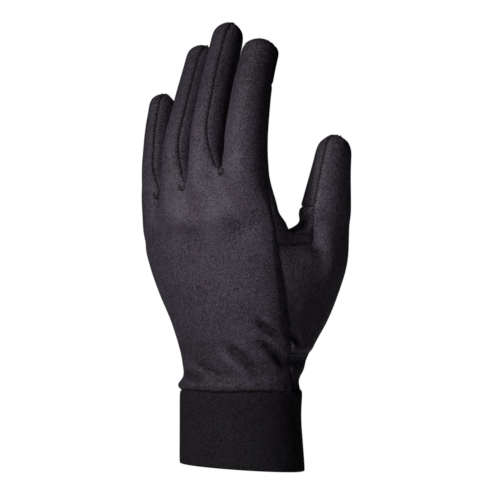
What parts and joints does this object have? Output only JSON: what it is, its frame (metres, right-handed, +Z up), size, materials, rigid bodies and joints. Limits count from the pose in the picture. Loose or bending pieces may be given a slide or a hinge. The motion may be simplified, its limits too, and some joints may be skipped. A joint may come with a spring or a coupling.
{
  "type": "glove liner",
  "caption": "Thin stretch-knit glove liner for the left hand, shown filled, with a doubled knit cuff, set-in thumb, fourchettes and touch tips.",
  "frame": {"origin": "middle of the cuff's mouth, where the wrist goes in", "axes": "+Z up the cuff towards the fingertips, -Y out of the back of the hand, +X to the thumb's side"},
  "size_m": [0.1221, 0.0674, 0.2449],
  "materials": {
    "hand_knit": "black fine stretch jersey with a soft satin sheen",
    "touch_knit": "black smooth conductive knit, a little darker than the hand",
    "cuff_knit": "black matt doubled knit band"
  },
  "bodies": {
    "root": {"back_panel": "hand_knit", "palm_panel": "hand_knit", "thumb_back": "hand_knit", "thumb_front": "hand_knit", "fourchette_index_middle": "hand_knit", "fourchette_middle_ring": "hand_knit", "fourchette_ring_little": "hand_knit", "index_touch_tip": "touch_knit", "thumb_touch_tip": "touch_knit", "cuff": "cuff_knit"}
  },
  "joints": []
}
